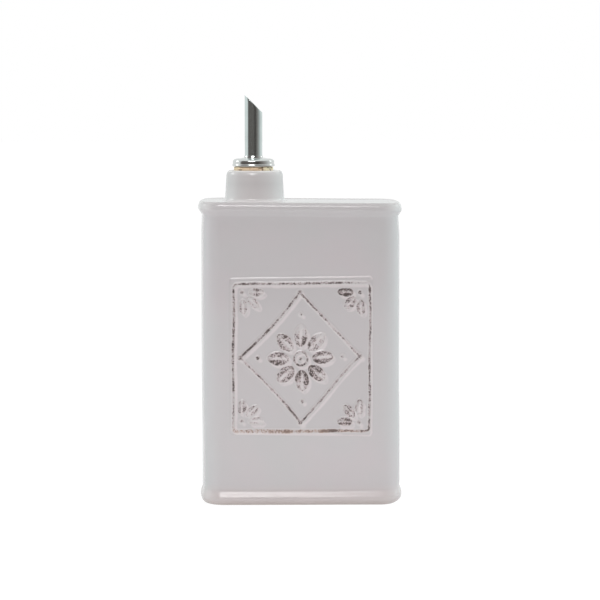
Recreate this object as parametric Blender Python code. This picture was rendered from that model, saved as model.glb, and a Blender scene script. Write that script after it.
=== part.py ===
"""Glazed ceramic olive oil can with a corked steel pourer, at its real size in metres.

The can is shaped like a tin: flat walls, round corners and a rolled bead at the
foot and the rim, with a round neck near its left end. The pourer is a slant-cut
steel tube with a collar, a breather tube and a natural cork, and it lifts out.
The origin is on the table under the middle of the can. +X points to the right,
+Z up, and the front with its raised panel faces -Y.
"""

import math

import bmesh
import bpy
from mathutils import Vector

# Can walls, over the plain stretch between foot and rim
CAN_WIDTH = 0.0988
CAN_DEPTH = 0.06
CAN_HEIGHT = 0.158
CORNER_RADIUS = 0.0085
END_CROWN = 0.0025
WALL = 0.0045
TOP_THICKNESS = 0.005
FLOOR_THICKNESS = 0.006
INNER_FILLET = 0.003

# Foot bead, which swells out of the wall and rolls under to a flat land
FOOT_PROUD = 0.0018
FOOT_HEIGHT = 0.0088
FOOT_BELLY_HEIGHT = 0.0035
FOOT_EDGE_ROUND = 0.0042
FOOT_LAND = 0.0036
BASE_RECESS = 0.001
BASE_SLOPE = 0.0012

# Rim bead, and the top sunk a little inside it
RIM_PROUD = 0.002
RIM_HEIGHT = 0.0068
RIM_BELLY_DROP = 0.0021
RIM_CREST = 0.0017
TOP_SUNK = 0.0004
TOP_SLOPE = 0.002

# Neck, its lip and its bore
NECK_INSET = 0.0249
NECK_HEIGHT = 0.016
NECK_BASE_DIAMETER = 0.0312
NECK_TOP_DIAMETER = 0.0299
NECK_FILLET = 0.0018
LIP_HEIGHT = 0.003
LIP_WIDTH = 0.0019
MOUTH_BORE = 0.0211
MOUTH_ROUND = 0.001
BORE_ROUND = 0.001

# Raised panel on the front wall, with a ridge round its field
PANEL_WIDTH = 0.0743
PANEL_HEIGHT = 0.0827
PANEL_LOWERED = 0.00185
PANEL_CORNER = 0.0018
PANEL_PROUD = 0.0004
PANEL_EDGE = 0.0006
PANEL_SUNK = 0.0015
RIDGE_INSET_SIDE = 0.00175
RIDGE_INSET_TOP = 0.0034
RIDGE_INSET_BOTTOM = 0.0022
RIDGE_WIDTH = 0.0022
RIDGE_PROUD = 0.0006

# Cork stopper
CORK_LENGTH = 0.02
CORK_EXPOSED = 0.0017
CORK_TAPER = 0.0022
CORK_EDGE = 0.0005
CORK_CLEARANCE = 0.0003

# Pour tube
TUBE_DIAMETER = 0.0093
TUBE_WALL = 0.0005
TUBE_RISE = 0.0396
TUBE_TAIL = 0.004
TUBE_CLEARANCE = 0.0003
FLARE_OUT = 0.0008
FLARE_HEIGHT = 0.0016
CUT_ANGLE = math.radians(45)

# Collar
COLLAR_DIAMETER = 0.0225
COLLAR_BEAD = 0.0011
COLLAR_STEP = 0.0003
COLLAR_BELLY = 0.0025
COLLAR_SHOULDER = 0.0016
COLLAR_SHOULDER_WIDTH = 0.0029
COLLAR_DOME = 0.0002
COLLAR_HUB_RISE = 0.001
COLLAR_HUB_WIDTH = 0.0011
SEAT_GAP = 0.0003

# Breather tube, soldered inside the pour tube
BREATHER_DIAMETER = 0.002
BREATHER_WALL = 0.0003
BREATHER_BELOW_CUT = 0.003
BREATHER_TAIL = 0.018

# Facets, and the overrun of a cutter past what it cuts
CORNER_STEPS = 8
FRONT_STEPS = 6
END_STEPS = 6
BEAD_STEPS = 7
ROUND_STEPS = 4
TURN_STEPS = 48
TUBE_STEPS = 32
BREATHER_STEPS = 12
FILLET_LIMIT_SHARE = 0.75

# Places worked out from the sizes above
NECK_X = NECK_INSET - CAN_WIDTH / 2
TOP_Z = CAN_HEIGHT - TOP_SUNK
MOUTH_Z = CAN_HEIGHT + NECK_HEIGHT
TUBE_RADIUS = TUBE_DIAMETER / 2
TUBE_BORE_RADIUS = TUBE_RADIUS - TUBE_WALL
CORK_BOTTOM = CORK_EXPOSED - CORK_LENGTH
TUBE_BOTTOM = CORK_BOTTOM - TUBE_TAIL
COLLAR_BOTTOM = CORK_EXPOSED + SEAT_GAP


def clear_scene():
    """Removes whatever the file holds before the can is built."""
    for old in list(bpy.data.objects):
        bpy.data.objects.remove(old)


def make_material(name, colour, roughness, metallic=0.0):
    """A Principled material with one colour, roughness and metallic value."""
    material = bpy.data.materials.new(name)
    material.use_nodes = True
    shader = material.node_tree.nodes["Principled BSDF"]
    shader.inputs["Base Color"].default_value = (*colour, 1.0)
    shader.inputs["Roughness"].default_value = roughness
    shader.inputs["Metallic"].default_value = metallic
    return material


def add_empty(name, location):
    """An empty that carries pieces on the neck's axis."""
    empty = bpy.data.objects.new(name, None)
    empty.location = location
    bpy.context.scene.collection.objects.link(empty)
    return empty


def add_object(name, bm, material, parent=None):
    """Turns a bmesh into a named object with outward faces and smooth round stretches."""
    bmesh.ops.recalc_face_normals(bm, faces=bm.faces)
    mesh = bpy.data.meshes.new(name)
    bm.to_mesh(mesh)
    bm.free()
    mesh.materials.append(material)
    mesh.shade_smooth()
    mesh.set_sharp_from_angle(angle=math.radians(35))
    made = bpy.data.objects.new(name, mesh)
    bpy.context.scene.collection.objects.link(made)
    made.parent = parent
    return made


def quarter(start, end, steps, flat_first):
    """Points of a quarter ellipse from start to end, both (across, up) pairs, without the start.

    It leaves the start upright and arrives level, or the other way round where flat_first is set.
    """
    points = []
    for step in range(1, steps + 1):
        turn = math.radians(90) * step / steps
        slow, fast = 1 - math.cos(turn), math.sin(turn)
        across, up = (fast, slow) if flat_first else (slow, fast)
        points.append(
            (start[0] + (end[0] - start[0]) * across, start[1] + (end[1] - start[1]) * up)
        )
    return points


def swell(start, end, steps):
    """Points of a soft S from start to end, upright at both ends, without the start."""
    points = []
    for step in range(1, steps + 1):
        share = step / steps
        ease = (1 - math.cos(math.pi * share)) / 2
        points.append(
            (start[0] + (end[0] - start[0]) * ease, start[1] + (end[1] - start[1]) * share)
        )
    return points


def slope(start, end, steps):
    """Points of a soft S from start to end, level at both ends, without the start."""
    flipped = swell((start[1], start[0]), (end[1], end[0]), steps)
    return [(across, up) for up, across in flipped]


def plan_ring(outset, z):
    """The can's outline at one height: a rounded rectangle with softly bowed ends.

    The outline stands outside the plain wall by outset, or inside it where outset is negative. The bow is
    greatest in the middle of an end and runs out to nothing at the front and the back.
    """
    half_width = CAN_WIDTH / 2 + outset
    half_depth = CAN_DEPTH / 2 + outset
    radius = CORNER_RADIUS + outset
    points = []
    sides = ((1, 1, FRONT_STEPS, 0), (-1, 1, END_STEPS, 1), (-1, -1, FRONT_STEPS, 2), (1, -1, END_STEPS, 3))
    for side_x, side_y, steps, quadrant in sides:
        centre = Vector((side_x * (half_width - radius), side_y * (half_depth - radius)))
        for step in range(CORNER_STEPS + 1):
            turn = math.radians(90) * (quadrant + step / CORNER_STEPS)
            points.append(centre + radius * Vector((math.cos(turn), math.sin(turn))))
        start = points[-1].copy()
        end = Vector((-start.x, start.y)) if quadrant % 2 == 0 else Vector((start.x, -start.y))
        points += [start.lerp(end, step / steps) for step in range(1, steps)]
    for point in points:
        point.x += math.copysign(END_CROWN * (1 - (point.y / half_depth) ** 2), point.x)
    return [Vector((point.x, point.y, z)) for point in points]


def neck_ring(radius, z):
    """A circle round the neck's axis with as many points as the can's outline, in the same order."""
    count = 4 * CORNER_STEPS + 2 * FRONT_STEPS + 2 * END_STEPS
    points = []
    for index in range(count):
        turn = math.radians(360) * (index + END_STEPS / 2) / count
        points.append(Vector((NECK_X + radius * math.cos(turn), radius * math.sin(turn), z)))
    return points


def loft(rings, closed=False):
    """A bmesh skin over rings with the same number of points, capped, or closed end to end."""
    bm = bmesh.new()
    loops = [[bm.verts.new(point) for point in ring] for ring in rings]
    pairs = list(zip(loops, loops[1:]))
    if closed:
        pairs.append((loops[-1], loops[0]))
    for lower, upper in pairs:
        for index in range(len(lower)):
            after = (index + 1) % len(lower)
            bm.faces.new((lower[index], lower[after], upper[after], upper[index]))
    if not closed:
        bm.faces.new(loops[0])
        bm.faces.new(loops[-1])
    return bm


def outer_profile():
    """The can's outside as (outset, height) pairs, from the underside up to the sunk top."""
    land_out = FOOT_PROUD - FOOT_EDGE_ROUND
    land_in = land_out - FOOT_LAND
    crest = RIM_PROUD - RIM_CREST
    points = [(land_in - BASE_SLOPE, BASE_RECESS), (land_in, 0), (land_out, 0)]
    points += quarter(points[-1], (FOOT_PROUD, FOOT_BELLY_HEIGHT), ROUND_STEPS, True)
    points += swell(points[-1], (0, FOOT_HEIGHT), BEAD_STEPS)
    points.append((0, CAN_HEIGHT - RIM_HEIGHT))
    points += swell(points[-1], (RIM_PROUD, CAN_HEIGHT - RIM_BELLY_DROP), BEAD_STEPS)
    points += quarter(points[-1], (crest, CAN_HEIGHT), ROUND_STEPS, False)
    points += slope(points[-1], (crest - TOP_SLOPE, TOP_Z), ROUND_STEPS)
    return points


def neck_profile():
    """The neck as (radius, height) pairs, up its outside, over the lip and down the bore."""
    base, top, bore = NECK_BASE_DIAMETER / 2, NECK_TOP_DIAMETER / 2, MOUTH_BORE / 2
    ceiling = TOP_Z - TOP_THICKNESS
    points = [(base + NECK_FILLET, TOP_Z)]
    points += quarter(points[-1], (base, TOP_Z + NECK_FILLET), ROUND_STEPS, True)
    points.append((top, MOUTH_Z - LIP_HEIGHT))
    points += quarter(points[-1], (top - LIP_WIDTH, MOUTH_Z), ROUND_STEPS, False)
    points.append((bore + MOUTH_ROUND, MOUTH_Z))
    points += quarter(points[-1], (bore, MOUTH_Z - MOUTH_ROUND), ROUND_STEPS, True)
    points.append((bore, ceiling + BORE_ROUND))
    points += quarter(points[-1], (bore + BORE_ROUND, ceiling), ROUND_STEPS, False)
    return points


def inner_profile():
    """The can's inside as (outset, height) pairs, from the ceiling down to the floor."""
    fillet = min(INNER_FILLET, FILLET_LIMIT_SHARE * (CORNER_RADIUS - WALL))
    ceiling = TOP_Z - TOP_THICKNESS
    points = [(-WALL - fillet, ceiling)]
    points += quarter(points[-1], (-WALL, ceiling - fillet), ROUND_STEPS, True)
    points.append((-WALL, FLOOR_THICKNESS + fillet))
    points += quarter(points[-1], (-WALL - fillet, FLOOR_THICKNESS), ROUND_STEPS, False)
    return points


def panel_ring(inset_side, inset_top, inset_bottom, y):
    """A rounded rectangle on the front wall, set in from the panel's edge by an amount for each side."""
    middle = (FOOT_HEIGHT + CAN_HEIGHT - RIM_HEIGHT) / 2 - PANEL_LOWERED
    right = PANEL_WIDTH / 2 - inset_side
    top = middle + PANEL_HEIGHT / 2 - inset_top
    bottom = middle - PANEL_HEIGHT / 2 + inset_bottom
    radius = PANEL_CORNER
    corners = ((right, top, -1, -1), (-right, top, 1, -1), (-right, bottom, 1, 1), (right, bottom, -1, 1))
    points = []
    for quadrant, (x, z, towards_x, towards_z) in enumerate(corners):
        for step in range(ROUND_STEPS + 1):
            turn = math.radians(90) * (quadrant + step / ROUND_STEPS)
            points.append(
                Vector(
                    (
                        x + radius * (towards_x + math.cos(turn)),
                        y,
                        z + radius * (towards_z + math.sin(turn)),
                    )
                )
            )
    return points


def panel_rings():
    """The raised panel from its root inside the wall, over the ridge and down to the field."""
    wall_y = -CAN_DEPTH / 2
    field_y = wall_y - PANEL_PROUD
    rings = [panel_ring(0, 0, 0, wall_y + PANEL_SUNK), panel_ring(0, 0, 0, wall_y)]
    rings.append(panel_ring(PANEL_EDGE, PANEL_EDGE, PANEL_EDGE, field_y))
    for step in range(ROUND_STEPS + 1):
        share = step / ROUND_STEPS
        across = RIDGE_WIDTH * (share - 1 / 2)
        rise = RIDGE_PROUD * math.sin(math.pi * share)
        insets = [RIDGE_INSET_SIDE + across, RIDGE_INSET_TOP + across, RIDGE_INSET_BOTTOM + across]
        outermost = [max(inset, PANEL_EDGE + across + RIDGE_WIDTH / 2) for inset in insets]
        rings.append(panel_ring(*outermost, field_y - rise))
    return rings


def build_can(material):
    """The can: one hollow shell, from the underside over the neck to the inner floor, and its panel."""
    rings = [plan_ring(outset, z) for outset, z in outer_profile()]
    rings += [neck_ring(radius, z) for radius, z in neck_profile()]
    rings += [plan_ring(outset, z) for outset, z in inner_profile()]
    can = add_object("can_body", loft(rings), material)
    panel = add_object("panel_helper", loft(panel_rings()), material)
    panel.hide_render = True
    panel.display_type = "WIRE"
    join = can.modifiers.new("join_panel", "BOOLEAN")
    join.operation = "UNION"
    join.solver = "EXACT"
    join.object = panel
    return can


def turned(profile, steps, centre=(0, 0)):
    """A closed outline of (radius, height) pairs turned full circle about an upright axis at centre."""
    rings = []
    for step in range(steps):
        turn = math.radians(360) * step / steps
        rings.append(
            [
                Vector((centre[0] + radius * math.cos(turn), centre[1] + radius * math.sin(turn), z))
                for radius, z in profile
            ]
        )
    return loft(rings, closed=True)


def build_cork(material, axis):
    """The tapered cork, bored through for the pour tube, with heights counted from the mouth."""
    mouth_radius = MOUTH_BORE / 2 - CORK_CLEARANCE
    narrowing = CORK_TAPER / 2 / CORK_LENGTH
    top_radius = mouth_radius + narrowing * CORK_EXPOSED
    bottom_radius = mouth_radius + narrowing * CORK_BOTTOM
    bore = TUBE_RADIUS + TUBE_CLEARANCE
    outline = [(bore, CORK_BOTTOM), (bottom_radius - CORK_EDGE, CORK_BOTTOM)]
    outline.append((bottom_radius, CORK_BOTTOM + CORK_EDGE))
    outline.append((top_radius, CORK_EXPOSED - CORK_EDGE))
    outline.append((top_radius - CORK_EDGE, CORK_EXPOSED))
    outline.append((bore, CORK_EXPOSED))
    return add_object("cork_stopper", turned(outline, TURN_STEPS), material, axis)


def build_tube(material, axis):
    """The pour tube: a flared lower end, a plain shaft and a slanting mouth with its tip on the left."""
    flare = [(TUBE_RADIUS + FLARE_OUT, TUBE_BOTTOM)]
    flare += swell(flare[-1], (TUBE_RADIUS, TUBE_BOTTOM + FLARE_HEIGHT), ROUND_STEPS)
    inside = [(radius - TUBE_WALL, z) for radius, z in reversed(flare)]
    outline = flare + [(TUBE_RADIUS, TUBE_RISE), (TUBE_BORE_RADIUS, TUBE_RISE)] + inside
    bm = turned(outline, TUBE_STEPS)
    tip = Vector((-TUBE_RADIUS, 0, TUBE_RISE))
    facing = Vector((math.sin(CUT_ANGLE), 0, math.cos(CUT_ANGLE)))
    everything = bm.verts[:] + bm.edges[:] + bm.faces[:]
    bmesh.ops.bisect_plane(bm, geom=everything, plane_co=tip, plane_no=facing, clear_outer=True)
    bmesh.ops.bridge_loops(bm, edges=[edge for edge in bm.edges if edge.is_boundary])
    return add_object("pour_tube", bm, material, axis)


def build_collar(material, axis):
    """The collar: a drum on a proud bead, with a wide round shoulder and a small hub at the tube."""
    hole = TUBE_RADIUS + TUBE_CLEARANCE
    rim = COLLAR_DIAMETER / 2
    bead = COLLAR_BEAD / 2
    belly = COLLAR_BOTTOM + COLLAR_BELLY
    top = belly + COLLAR_SHOULDER
    outline = [(hole, COLLAR_BOTTOM), (rim - bead, COLLAR_BOTTOM)]
    outline += quarter(outline[-1], (rim, COLLAR_BOTTOM + bead), ROUND_STEPS, True)
    outline += quarter(outline[-1], (rim - COLLAR_STEP, COLLAR_BOTTOM + COLLAR_BEAD), ROUND_STEPS, False)
    outline += [(rim - COLLAR_STEP, belly)]
    outline += quarter(outline[-1], (rim - COLLAR_SHOULDER_WIDTH, top), ROUND_STEPS, False)
    outline += slope(outline[-1], (hole + COLLAR_HUB_WIDTH, top + COLLAR_DOME), ROUND_STEPS)
    outline += quarter(outline[-1], (hole, top + COLLAR_DOME + COLLAR_HUB_RISE), ROUND_STEPS, True)
    return add_object("collar", turned(outline, TURN_STEPS), material, axis)


def build_breather(material, axis):
    """The breather tube, against the pour tube's wall on the side away from the tip."""
    radius = BREATHER_DIAMETER / 2
    offset = TUBE_BORE_RADIUS - radius - TUBE_CLEARANCE
    cut_here = TUBE_RISE - (TUBE_RADIUS + offset + radius) * math.tan(CUT_ANGLE)
    top = cut_here - BREATHER_BELOW_CUT
    bottom = TUBE_BOTTOM - BREATHER_TAIL
    bore = radius - BREATHER_WALL
    outline = [(bore, bottom), (radius, bottom), (radius, top), (bore, top)]
    bm = turned(outline, BREATHER_STEPS, (offset, 0))
    return add_object("breather_tube", bm, material, axis)


def main():
    clear_scene()
    glaze = make_material("glaze", (0.515, 0.479, 0.487), 0.12)
    cork = make_material("cork", (0.56, 0.36, 0.2), 0.85)
    steel = make_material("polished_steel", (0.72, 0.73, 0.74), 0.08, 1.0)
    dull_steel = make_material("drawn_steel", (0.55, 0.56, 0.57), 0.3, 1.0)
    build_can(glaze)
    mouth = (NECK_X, 0, MOUTH_Z)
    stopper_axis = add_empty("stopper_axis", mouth)
    spout_axis = add_empty("spout_axis", mouth)
    build_cork(cork, stopper_axis)
    build_tube(steel, spout_axis)
    build_collar(steel, spout_axis)
    build_breather(dull_steel, spout_axis)


main()
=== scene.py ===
# %% [markdown]
# # A ceramic oil can with a corked steel pourer
# The packed solids are the frame: they say where each piece sits and how it moves. This script dresses
# them. Every visible piece is a surface worked out with numpy, and every finish is a small shader.

import math

import bpy
import numpy as np
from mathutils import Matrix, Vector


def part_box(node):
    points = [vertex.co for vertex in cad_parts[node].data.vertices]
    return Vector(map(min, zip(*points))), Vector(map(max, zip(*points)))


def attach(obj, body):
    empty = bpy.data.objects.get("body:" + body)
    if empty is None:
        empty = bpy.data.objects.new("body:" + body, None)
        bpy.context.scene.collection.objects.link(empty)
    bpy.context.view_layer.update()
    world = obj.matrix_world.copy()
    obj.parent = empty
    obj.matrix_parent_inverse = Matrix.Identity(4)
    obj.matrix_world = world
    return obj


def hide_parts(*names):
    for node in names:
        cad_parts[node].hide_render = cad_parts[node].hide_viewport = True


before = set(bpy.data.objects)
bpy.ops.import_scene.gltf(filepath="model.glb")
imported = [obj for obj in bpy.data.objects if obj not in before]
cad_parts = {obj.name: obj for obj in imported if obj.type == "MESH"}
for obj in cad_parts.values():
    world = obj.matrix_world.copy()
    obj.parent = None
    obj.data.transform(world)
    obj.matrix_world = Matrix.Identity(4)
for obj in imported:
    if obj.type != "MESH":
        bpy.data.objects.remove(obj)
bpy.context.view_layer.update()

scene = bpy.context.scene
MM = 0.001
TURN = 2 * math.pi
WHITE = (1.0, 1.0, 1.0)


def mm(*sizes):
    """Sizes in millimetres as metres."""
    return [size * MM for size in sizes]


# %% [markdown]
# ## The camera
# The photograph was taken from far away and a little above, almost straight at the front. A long lens
# keeps the upright edges nearly parallel. The camera looks at a point halfway up.

# %% Place the camera
EYE, LOOK_AT = (-0.0261, -1.4938, 0.220), (0.0, 0.0, 0.1052)
LENS_MM, SENSOR_MM = 169.8, 36.0
CLIP_NEAR, CLIP_FAR = 0.01, 100.0


def place_object(name, data, place=(0, 0, 0), turn=(0, 0, 0)):
    """Puts a mesh, a camera or a lamp into the scene."""
    made = bpy.data.objects.new(name, data)
    made.location, made.rotation_euler = place, turn
    scene.collection.objects.link(made)
    return made


def facing(place, aim):
    """The turn from looking straight down to looking from a place at an aim: tilt, roll and heading."""
    ahead = np.subtract(aim, place)
    level = math.hypot(ahead[0], ahead[1])
    return math.pi / 2 + math.atan2(ahead[2], level), 0, -math.atan2(ahead[0], ahead[1])


camera = bpy.data.cameras.new("camera")
camera.lens, camera.sensor_width = LENS_MM, SENSOR_MM
camera.clip_start, camera.clip_end = CLIP_NEAR, CLIP_FAR
scene.camera = place_object("camera", camera, EYE, facing(EYE, LOOK_AT))
print("camera", round(math.dist(EYE, LOOK_AT), 3), "m from the can")

# %% [markdown]
# ## Grids that become meshes
# All shapes here are grids of points: one direction runs along a profile, the other round the piece. Two
# neighbouring rows give a row of four-sided faces. A grid that closes on itself joins its last row to its
# first, and an open end is closed with a fan of triangles to one point, its pole.

# %% Turn a grid of points into a closed mesh
def grid_faces(rows, columns, wrap_rows, wrap_columns):
    """Corner numbers of each face: point (row, column), the next column, the next row and back."""
    row = np.arange(rows if wrap_rows else rows - 1)[:, None]
    column = np.arange(columns if wrap_columns else columns - 1)[None, :]
    next_row, next_column = (row + 1) % rows, (column + 1) % columns
    corners = [row * columns + column, row * columns + next_column]
    corners += [next_row * columns + next_column, next_row * columns + column]
    return np.stack(corners, axis=-1).reshape(-1, 4)


def make_piece(name, points, faces, triangles=None):
    """An object whose place is in its mesh, shaded smooth, from points, four-sided faces and triangles."""
    kinds = [faces] if triangles is None else [faces, triangles]
    corners = np.concatenate([kind.ravel() for kind in kinds])
    sizes = np.concatenate([np.full(len(kind), kind.shape[1]) for kind in kinds])
    mesh = bpy.data.meshes.new(name)
    mesh.vertices.add(len(points))
    mesh.loops.add(len(corners))
    mesh.polygons.add(len(sizes))
    mesh.vertices.foreach_set("co", points.astype(np.float32).ravel())
    mesh.loops.foreach_set("vertex_index", corners.astype(np.int32))
    mesh.polygons.foreach_set("loop_start", (np.cumsum(sizes) - sizes).astype(np.int32))
    mesh.update(calc_edges=True)
    mesh.validate()
    mesh.shade_smooth()
    return place_object(name, mesh)


def mark_points(piece, name, values):
    """Keeps a number for each point, which a finish reads by its name."""
    marks = piece.data.attributes.new(name, "FLOAT", "POINT")
    marks.data.foreach_set("value", values.astype(np.float32).ravel())


def skin(name, grid, first_pole=None, last_pole=None, wrap_rows=False):
    """A closed piece over a grid of shape (rows, columns, 3) that wraps round its columns."""
    rows, columns = grid.shape[:2]
    points, fans = [grid.reshape(-1, 3)], []
    for pole, base, flip in ((first_pole, 0, True), (last_pole, (rows - 1) * columns, False)):
        if pole is None:
            continue
        tip = np.full(columns, rows * columns + len(points) - 1)
        here = base + np.arange(columns)
        there = np.roll(here, -1)
        fans.append(np.stack([tip, there, here] if flip else [tip, here, there], axis=-1))
        points.append(np.array([pole]))
    faces = grid_faces(rows, columns, wrap_rows, True)
    return make_piece(name, np.concatenate(points), faces, np.concatenate(fans) if fans else None)


print("a 3 x 4 grid wrapped one way has", len(grid_faces(3, 4, False, True)), "faces")

# %% [markdown]
# ## Curves for profiles
# A profile is drawn from a few named corners. Between them run quarter ellipses for rounded edges and soft
# S curves for beads, so the light always finds a turning surface, as on glaze that has flowed in the kiln.

# %% Profile helpers
LEVEL, UPRIGHT = True, False


def shares(steps):
    """Even shares from 0 to 1, leaving out the 0, because the stretch before ends there."""
    return np.arange(1, steps + 1) / steps


def towards(start, end, across, up):
    """Points from start to end by one share of the way across and one of the way up."""
    return np.stack([start[0] + (end[0] - start[0]) * across, start[1] + (end[1] - start[1]) * up], axis=1)


def straight(start, end, steps):
    """Points from start to end at even steps."""
    share = shares(steps)[:, None]
    return np.array(start) * (1 - share) + np.array(end) * share


def quarter(start, end, steps, level_first, power=2.0):
    """A quarter round: one axis goes with the sine of the turn and the other with one minus its cosine.

    Sine and cosine are raised to two over the power, so 2 gives an ellipse and more gives a squarer round.
    """
    turn = shares(steps) * math.pi / 2
    fast, slow = np.sin(turn) ** (2 / power), 1 - np.cos(turn).clip(0, 1) ** (2 / power)
    return towards(start, end, fast, slow) if level_first else towards(start, end, slow, fast)


def swell(start, end, steps):
    """A soft S: the way across is half of one minus the cosine while the height runs evenly."""
    share = shares(steps)
    return towards(start, end, (1 - np.cos(math.pi * share)) / 2, share)


def sink(start, end, steps):
    """The same S lying down: level at both ends."""
    return swell(start[::-1], end[::-1], steps)[:, ::-1]


def chain(start, *stretches):
    """One profile from a first point; a stretch is a curve, its end, its steps and what more it takes."""
    profile = [np.array([start])]
    for curve, *values in stretches:
        profile.append(curve(tuple(profile[-1][-1]), *values))
    return np.concatenate(profile)


def ease(value):
    """0 below 0, 1 above 1, and three times the square less twice the cube between."""
    held = np.clip(value, 0, 1)
    return held * held * (3 - 2 * held)


def rising(value, start, reach):
    """0 up to start, then easing to 1 over a reach; both are in millimetres."""
    return ease((value - start * MM) / (reach * MM))


def falling(value, end, reach):
    """1, then easing to 0 over a reach before the end, both in millimetres."""
    return rising(-value, -end, reach)


print("a quarter round of 2 steps:", quarter((0, 0), (1, 1), 2, LEVEL).round(3).tolist())

# %% [markdown]
# ## The can's plan
# Seen from above the can is a rectangle with round corners and softly bowed ends. The plan is an inner
# skeleton with directions that point outwards. Pushed out by the corner radius it gives the wall, and a
# little more or less gives the beads and the inside.

# %% Sizes of the can and its plan
_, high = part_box("can_body")
FOOT_PROUD, RIM_PROUD, END_CROWN = mm(1.8, 2.0, 2.5)
CORNER, NECK_X, NECK_TALL = mm(8.5, -24.5, 16)
HALF_WIDTH, HALF_DEPTH = high[0] - RIM_PROUD - END_CROWN, high[1] - RIM_PROUD
MOUTH_Z = high[2]
RIM_Z = MOUTH_Z - NECK_TALL


def plan(front, end, back, corner):
    """Skeleton points and outward directions round the can, anticlockwise from the front wall's left end.

    A wall is a straight line of skeleton points with one direction. A corner is one skeleton point whose
    direction turns a quarter.
    """
    x, y = HALF_WIDTH - CORNER, HALF_DEPTH - CORNER
    corners = np.array([(-x, -y), (x, -y), (x, y), (-x, y)])
    skeleton, turn = [], []
    for side, steps in enumerate((front, end, back, end)):
        here, there = corners[side], corners[(side + 1) % 4]
        for start, angle, count in ((here, 0, steps), (there, 90, corner)):
            share = np.arange(count)[:, None] / count
            skeleton.append(start * (1 - share) + there * share)
            turn.append(np.radians(90 * (side - 1) + angle * share[:, 0]))
    skeleton, turn = np.concatenate(skeleton), np.concatenate(turn)
    return skeleton, np.stack([np.cos(turn), np.sin(turn)], axis=1)


SKELETON, OUTWARD = plan(front=90, end=32, back=48, corner=16)


def rows_at(x, y, z):
    """Points for a grid of x and y, with a height for each or one for a whole row."""
    return np.stack([x, y, np.broadcast_to(z, x.shape)], axis=-1)


def can_rings(profile):
    """Rings round the can for (outset, height) pairs: skeleton plus direction times corner and outset.

    The ends are bowed by the crown times one minus the squared share of the way from middle to front.
    """
    outset, z = profile[:, 0, None], profile[:, 1, None]
    x = SKELETON[None, :, 0] + (CORNER + outset) * OUTWARD[None, :, 0]
    y = SKELETON[None, :, 1] + (CORNER + outset) * OUTWARD[None, :, 1]
    x += np.sign(x) * END_CROWN * (1 - (y / (HALF_DEPTH + outset)) ** 2)
    return rows_at(x, y, z)


def neck_rings(profile, headings):
    """Rings round the neck's axis for (radius, height) pairs, with a point on each heading."""
    radius, z = profile[:, 0, None], profile[:, 1, None]
    return rows_at(NECK_X + radius * np.cos(headings), radius * np.sin(headings), z)


print("plan points:", len(SKELETON), "half size in mm:", np.round([HALF_WIDTH / MM, HALF_DEPTH / MM], 1))

# %% [markdown]
# ## Warped by hand and kiln
# A slip-cast wall is never quite flat. It lies in by slow waves of a few tenths of a millimetre, swells
# outwards at the two ends and drifts a little to the right lower down. The beads at rim and foot sit
# slightly off centre, the rim is lifted at the left and falls to the right, and the underside of the foot
# lifts a little at the right. Only the outside is warped. The neck keeps its round bore for the cork, but
# its outside is a touch off centre.

# %% Slow waves for the walls
WAVE = 0.10 * MM
SWELL_LEFT, SWELL_RIGHT, WALL_DRIFT = mm(0.3, 0.65, 0.38)
RIM_PULL_RIGHT, FOOT_PULL_LEFT, FOOT_PULL_RIGHT = mm(0.4, 0.85, 0.15)
RIM_LIFT, RIM_FALL, FOOT_LIFT, NECK_DRIFT = mm(0.3, 0.62, 1.2, 0.55)


def wall_wave(along, z):
    """How far a wall lies in from its plain place: three slow sines of place along the wall and height."""
    a, b = along / MM, z / MM
    wave = np.sin(a / 13 + 0.6) * np.sin(b / 21 + 1.1) + np.sin(a / 29 - b / 37 + 2.0)
    return WAVE * (2 + wave + 0.5 * np.sin(b / 9.5 + a / 41)) / 4


def rim_shift(x, z):
    """How far the upper part is moved up: a lift as a whole, less a fall that eases in to the right."""
    fall = ease((x + HALF_WIDTH) / (2 * HALF_WIDTH))
    return rising(z, 90, 55) * (RIM_LIFT - RIM_FALL * fall)


def end_shift(x, z):
    """How far the ends move along x: the walls swell outwards and drift, and the beads lie off centre."""
    right, left = rising(x, 15, 35), rising(-x, 15, 35)
    wall = rising(z, 4, 6) * falling(z, 150, 10)
    drift = WALL_DRIFT * falling(z, 75, 50) * (right + left)
    rim = -RIM_PULL_RIGHT * right * rising(z - RIM_Z, -6.8, 4)
    foot = (FOOT_PULL_LEFT * left + FOOT_PULL_RIGHT * right) * falling(z, 8.8, 4)
    return wall * (SWELL_RIGHT * right - SWELL_LEFT * left + drift) + rim + foot


def warp_outside(rings):
    """The outside rings with waves along their own direction, the shifted ends and the rim's fall."""
    warped = rings.copy()
    x, y, z = rings[..., 0], rings[..., 1], rings[..., 2]
    inwards = wall_wave(x * OUTWARD[None, :, 1] - y * OUTWARD[None, :, 0], z)
    warped[..., :2] -= inwards[..., None] * OUTWARD
    warped[..., 0] += end_shift(x, z)
    warped[..., 2] += rim_shift(x, z)
    return warped


ends = np.array([-HALF_WIDTH, HALF_WIDTH])
print("the rim's left and right end move up by, in mm:", (rim_shift(ends, RIM_Z) / MM).round(2).tolist())

# %% [markdown]
# ## The can, from its underside to its inner floor
# The can is one thick skin. Its profile starts under the foot, rounds over the foot bead, climbs the wall,
# rolls over the rim and sinks to the top. There the rings change from the can's plan to circles round the
# neck, and the profile goes on over the lip, down the bore and round the hollow to the floor. A narrow
# flat, such as a wet sponge leaves, parts the rounds of rim and lip and catches the light.

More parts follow.
